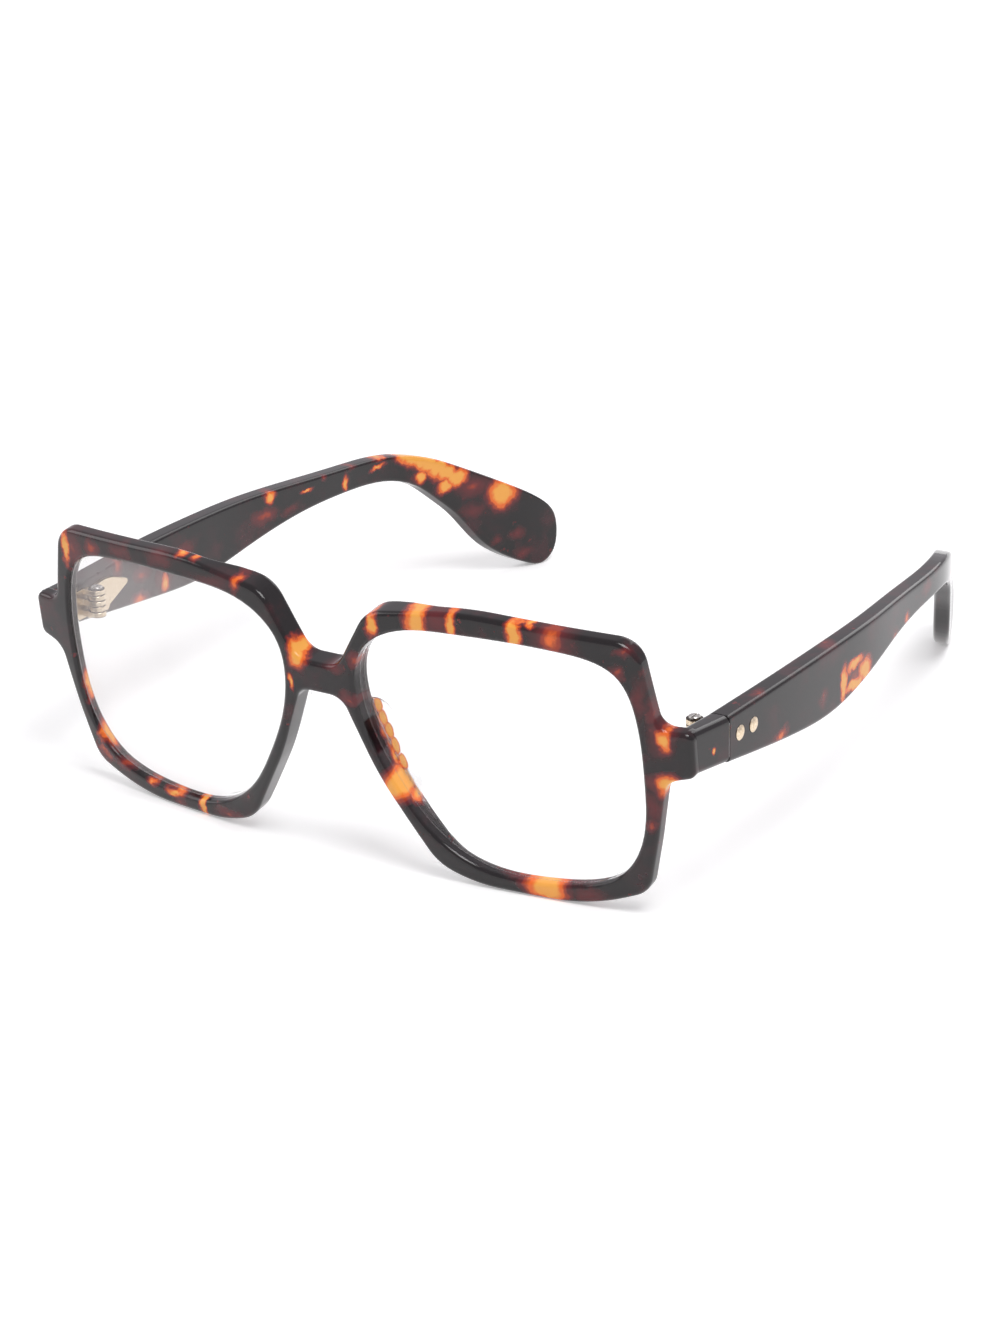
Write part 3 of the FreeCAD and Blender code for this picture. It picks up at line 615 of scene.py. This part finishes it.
class EYEWEAR_PG_sizes(bpy.types.PropertyGroup):
    front_edge: FloatProperty(name="Front edges", description="Rounding of the front's long edges",
                              default=0.85 * MM, min=0.1 * MM, max=1.5 * MM, unit="LENGTH")
    temple_edge: FloatProperty(name="Temple edges", description="Rounding of the temples' long edges",
                               default=0.75 * MM, min=0.1 * MM, max=1.5 * MM, unit="LENGTH")
    block_edge: FloatProperty(name="Block edges", description="Rounding of the end blocks' long edges",
                              default=1.2 * MM, min=0.1 * MM, max=1.8 * MM, unit="LENGTH")
    net: FloatProperty(name="Net", description="Spacing of the sheet's faces before it is bent",
                       default=3.0 * MM, min=1.0 * MM, unit="LENGTH")


class EYEWEAR_PG_stage(bpy.types.PropertyGroup):
    floor_size: FloatProperty(name="Floor size", description="Side of the floor",
                              default=3.0, min=0.5, unit="LENGTH")
    lens_length: FloatProperty(name="Focal length", description="Camera's focal length in millimetres",
                               default=87.4, min=10.0)
    key_power: FloatProperty(name="Key light", description="Power of the large overhead lamp in watts",
                             default=3.8, min=0.0)
    world_strength: FloatProperty(name="World", description="Strength of the even surrounding light",
                                  default=0.35, min=0.0)


# ---------------------------------------------------------------- stage values

# The pale floor's own light to the eye, how much more of it the polish mirrors, and the same of the
# sky. The floor's light grows between two distances, in millimetres, to a white horizon.
FLOOR_GLOW, MIRRORED_GLOW, MIRRORED_SKY = 0.335, 1.3, 0.5
HORIZON_START, HORIZON_END, HORIZON_GLOW = 350.0, 1100.0, (2.2, 2.2, 2.2, 1.0)
SKY_COLOUR, SKY_GLOW = (0.98, 0.95, 1.0, 1.0), 1.08

# Lamps: name, place, side of the square, part of the key lamp's power. All aim at one spot.
LAMPS = (
    ("key", (0.35, -0.25, 0.75), 0.36, 1.0),
    ("fill", (-0.70, -0.35, 0.45), 0.50, 0.45),
    ("rim", (0.05, 0.80, 0.55), 0.60, 0.6),
)
LIT_SPOT = Vector((0.0, 0.0, 0.02))

# The camera's place from the left hinge pin, then its turn round the frame, its rise and its roll.
CAMERA_FROM_PIN = Vector((242.814, -442.121, 219.595))
CAMERA_TURN, CAMERA_RISE, CAMERA_ROLL = math.radians(32.49), math.radians(22.07), math.radians(-1.30)


# ---------------------------------------------------------------- operators

class EYEWEAR_OT_front(bpy.types.Operator):
    """Make the bent front of tortoise acetate with its soft edges"""
    bl_idname = "eyewear.front"
    bl_label = "Front"

    def execute(self, context):
        sizes = context.scene.eyewear_sizes
        material = tortoise("tortoise_front", FRONT_PATCHES, context.scene.eyewear_colours)
        dress("front", material)
        rounding = sizes.front_edge / MM
        eye = [(EYE_GAP / 2 + a * EYE_WIDTH, b * EYE_HEIGHT - EYE_DROP) for a, b in EYE_SHAPE]
        eye = smooth_run(eye, steps=8, closed=True)
        other = [(-x, z) for x, z in reversed(eye)]
        outline = rounded_loop(OUTLINE + tuple((-x, z, r) for x, z, r in reversed(OUTLINE)))
        mesh = cut_plate("front_acetate", (outline, eye, other), RIM_DEPTH, rounding)
        bm = bmesh.new()
        bm.from_mesh(mesh)
        bmesh.ops.remove_doubles(bm, verts=bm.verts, dist=SAME_PLACE)
        net_cut(bm, sizes.net / MM)
        for vert in bm.verts:
            vert.co = bent_front(vert.co, rounding)
        new_piece("front_acetate", bm, mesh, material, "front", "front")
        return {"FINISHED"}


class EYEWEAR_OT_end_blocks(bpy.types.Operator):
    """Make the end blocks that turn the front back to the hinges"""
    bl_idname = "eyewear.end_blocks"
    bl_label = "End blocks"

    def execute(self, context):
        material = bpy.data.materials["tortoise_front"]
        for side, name in ((1, "left"), (-1, "right")):
            dress("end_block_" + name, material)
            mesh = bpy.data.meshes.new("end_block_acetate_" + name)
            bm = bmesh.new()
            bmesh.ops.create_cube(bm, size=1.0)
            long_edges = [e for e in bm.edges if abs(e.verts[0].co.y - e.verts[1].co.y) > 0.5]
            for vert in bm.verts:
                outer, back, upper = (value > 0 for value in vert.co)
                sides, depth, levels = BLOCK_BACK if back else BLOCK_FRONT
                spot = Vector((sides[outer], depth, levels[upper]))
                vert.co = spot if back else leaned(spot)
            bmesh.ops.bevel(bm, geom=long_edges, offset=context.scene.eyewear_sizes.block_edge / MM,
                            offset_type="OFFSET", affect="EDGES", segments=6, profile=0.5, material=-1)
            for vert in bm.verts:
                vert.co = placed(vert.co)
                vert.co.x *= side
            if side < 0:
                bmesh.ops.reverse_faces(bm, faces=bm.faces)
            new_piece("end_block_acetate_" + name, bm, mesh, material, "front",
                      "end_block_" + name)
        return {"FINISHED"}


class EYEWEAR_OT_temples(bpy.types.Operator):
    """Make both bowed temples of tortoise acetate with their soft edges"""
    bl_idname = "eyewear.temples"
    bl_label = "Temples"

    def execute(self, context):
        sizes = context.scene.eyewear_sizes
        material = tortoise("tortoise_temples", TEMPLE_PATCHES, context.scene.eyewear_colours)
        bow = [(SEAM + a * SHANK_LENGTH, TEMPLE_OUT + b) for a, b in SHANK_BOW]
        bow += [(SEAM + SHANK_LENGTH + a, TEMPLE_OUT + b) for a, b in EAR_BOW]
        bow = np.array(smooth_run(bow, steps=12))
        bow = np.column_stack((bow, np.gradient(bow[:, 1], bow[:, 0])))
        for side, name in ((1, "left"), (-1, "right")):
            dress("temple_" + name, material)
            mesh = cut_plate("temple_acetate_" + name, (temple_outline(),), TEMPLE_THICK,
                             sizes.temple_edge / MM)
            bm = bmesh.new()
            bm.from_mesh(mesh)
            bmesh.ops.remove_doubles(bm, verts=bm.verts, dist=SAME_PLACE)
            bmesh.ops.bisect_plane(bm, geom=bm.verts[:] + bm.edges[:] + bm.faces[:], dist=1e-5,
                                   plane_co=(SEAM, 0.0, 0.0), plane_no=(1.0, 0.0, 0.0), clear_inner=True)
            bmesh.ops.holes_fill(bm, edges=[e for e in bm.edges if e.is_boundary])
            net_cut(bm, sizes.net / MM)
            for vert in bm.verts:
                vert.co = bowed_temple(vert.co, bow, side)
            if side < 0:
                bmesh.ops.reverse_faces(bm, faces=bm.faces)
            new_piece("temple_acetate_" + name, bm, mesh, material, "temple_" + name,
                      "temple_" + name)
        return {"FINISHED"}


class EYEWEAR_OT_pads(bpy.types.Operator):
    """Finish the clear nose pads"""
    bl_idname = "eyewear.pads"
    bl_label = "Nose pads"

    def execute(self, context):
        clear = clear_acetate(context.scene.eyewear_colours)
        for side in ("left", "right"):
            dress("nose_pad_" + side, clear)
        return {"FINISHED"}


class EYEWEAR_OT_lenses(bpy.types.Operator):
    """Finish the demo lenses"""
    bl_idname = "eyewear.lenses"
    bl_label = "Lenses"

    def execute(self, context):
        glass = clear_lens(context.scene.eyewear_colours)
        for side in ("left", "right"):
            dress("lens_" + side, glass)
        return {"FINISHED"}


class EYEWEAR_OT_hinges(bpy.types.Operator):
    """Finish hinge leaves, screws, rivets and core wires"""
    bl_idname = "eyewear.hinges"
    bl_label = "Hinges"

    def execute(self, context):
        colours = context.scene.eyewear_colours
        gold = metal("plated_gold", colours.gold, colours.gold_dark, 0.26, jointed=True)
        steel = metal("screw_steel", colours.steel, colours.steel_dark, 0.22)
        wire = metal("core_nickel", colours.wire, colours.wire_dark, 0.30)
        for side in ("left", "right"):
            for node in ("front_hinge_leaf_", "temple_hinge_leaf_", "temple_rivets_"):
                dress(node + side, gold)
            dress("hinge_screw_" + side, steel)
            dress("temple_core_" + side, wire)
        return {"FINISHED"}


class EYEWEAR_OT_stage(bpy.types.Operator):
    """Make the floor, the lamps, the surrounding light and the camera"""
    bl_idname = "eyewear.stage"
    bl_label = "Stage"

    def execute(self, context):
        setup = context.scene.eyewear_stage
        self.floor(setup.floor_size, context.scene.eyewear_colours.floor)
        self.lamps(setup.key_power)
        self.world(context.scene, setup.world_strength)
        self.camera(context.scene, setup.lens_length)
        context.scene.view_settings.view_transform = "Standard"
        return {"FINISHED"}

    def floor(self, size, colour):
        mesh = bpy.data.meshes.new("floor")
        bm = bmesh.new()
        bmesh.ops.create_grid(bm, x_segments=1, y_segments=1, size=size / 2)
        bm.to_mesh(mesh)
        bm.free()
        floor = bpy.data.objects.new("floor", mesh)
        bpy.context.scene.collection.objects.link(floor)
        g = Graph(bpy.data.materials.new("pale_floor"))
        rays = g.node("ShaderNodeLightPath")
        mirrored = g.out(rays, "Is Glossy Ray") * MIRRORED_GLOW
        seen = g.maths("MAXIMUM", mirrored, g.out(rays, "Is Transmission Ray"))
        seen = g.maths("MAXIMUM", g.out(rays, "Is Camera Ray"), seen)
        matte = g.node("ShaderNodeBsdfDiffuse", Color=rgba(colour))
        away = g.vector("LENGTH", millimetres(g), place="Value")
        white = g.mix(g.step(away, HORIZON_START, HORIZON_END), WHITE, HORIZON_GLOW)
        glow = g.node("ShaderNodeEmission", Color=white, Strength=seen * FLOOR_GLOW)
        both = g.node("ShaderNodeAddShader", i0=g.out(matte), i1=g.out(glow))
        mesh.materials.append(g.finish(both))

    def lamps(self, power):
        for name, place, size, share in LAMPS:
            lamp = bpy.data.lights.new(name, "AREA")
            lamp.shape = "SQUARE"
            lamp.size = size
            lamp.energy = power * share
            lamp_object = bpy.data.objects.new(name, lamp)
            lamp_object.location = place
            aim = LIT_SPOT - Vector(place)
            lamp_object.rotation_euler = aim.to_track_quat("-Z", "Y").to_euler()
            bpy.context.scene.collection.objects.link(lamp_object)

    def world(self, scene, strength):
        g = Graph(bpy.data.worlds.new("studio"))
        rays = g.node("ShaderNodeLightPath")
        seen = g.maths("MAXIMUM", g.out(rays, "Is Camera Ray"), g.out(rays, "Is Transmission Ray"))
        seen = g.maths("MULTIPLY_ADD", g.out(rays, "Is Glossy Ray"), MIRRORED_SKY, seen)
        level = g.out(g.node("ShaderNodeMapRange", Value=seen, To_Min=strength, To_Max=SKY_GLOW))
        sky = g.node("ShaderNodeBackground", Color=SKY_COLOUR, Strength=level)
        scene.world = g.finish(sky, "ShaderNodeOutputWorld")

    def camera(self, scene, focal):
        """Stands off the wearer's left front corner, a little above, with a slight roll."""
        data = bpy.data.cameras.new("camera")
        data.lens = focal
        data.sensor_width = 36.0
        data.clip_start = 0.01
        camera = bpy.data.objects.new("camera", data)
        place = Matrix.Translation(PIN + CAMERA_FROM_PIN * MM)
        turn = Matrix.Rotation(CAMERA_TURN, 4, "Z")
        rise = Matrix.Rotation(math.pi / 2 - CAMERA_RISE, 4, "X")
        camera.matrix_world = place @ turn @ rise @ Matrix.Rotation(CAMERA_ROLL, 4, "Z")
        scene.collection.objects.link(camera)
        scene.camera = camera


class EYEWEAR_PT_panel(bpy.types.Panel):
    """Lists the frame's pieces, their colours and the stage"""
    bl_idname = "EYEWEAR_PT_panel"
    bl_label = "Eyeglasses"
    bl_space_type = "VIEW_3D"
    bl_region_type = "UI"
    bl_category = "Eyeglasses"

    def draw(self, context):
        scene = context.scene
        for group in (scene.eyewear_colours, scene.eyewear_sizes, scene.eyewear_stage):
            column = self.layout.column()
            for key in group.__annotations__:
                column.prop(group, key)
        for operator in OPERATORS:
            self.layout.operator(operator.bl_idname)


OPERATORS = (EYEWEAR_OT_front, EYEWEAR_OT_end_blocks, EYEWEAR_OT_temples, EYEWEAR_OT_pads,
             EYEWEAR_OT_lenses, EYEWEAR_OT_hinges, EYEWEAR_OT_stage)
GROUPS = (EYEWEAR_PG_colours, EYEWEAR_PG_sizes, EYEWEAR_PG_stage)


def register():
    for item in (*GROUPS, *OPERATORS, EYEWEAR_PT_panel):
        bpy.utils.register_class(item)
    bpy.types.Scene.eyewear_colours = PointerProperty(type=EYEWEAR_PG_colours)
    bpy.types.Scene.eyewear_sizes = PointerProperty(type=EYEWEAR_PG_sizes)
    bpy.types.Scene.eyewear_stage = PointerProperty(type=EYEWEAR_PG_stage)


def unregister():
    del bpy.types.Scene.eyewear_stage
    del bpy.types.Scene.eyewear_sizes
    del bpy.types.Scene.eyewear_colours
    for item in reversed((*GROUPS, *OPERATORS, EYEWEAR_PT_panel)):
        bpy.utils.unregister_class(item)


def main():
    register()
    bpy.ops.eyewear.front()
    bpy.ops.eyewear.end_blocks()
    bpy.ops.eyewear.temples()
    bpy.ops.eyewear.pads()
    bpy.ops.eyewear.lenses()
    bpy.ops.eyewear.hinges()
    bpy.ops.eyewear.stage()


if __name__ == "__main__":
    main()
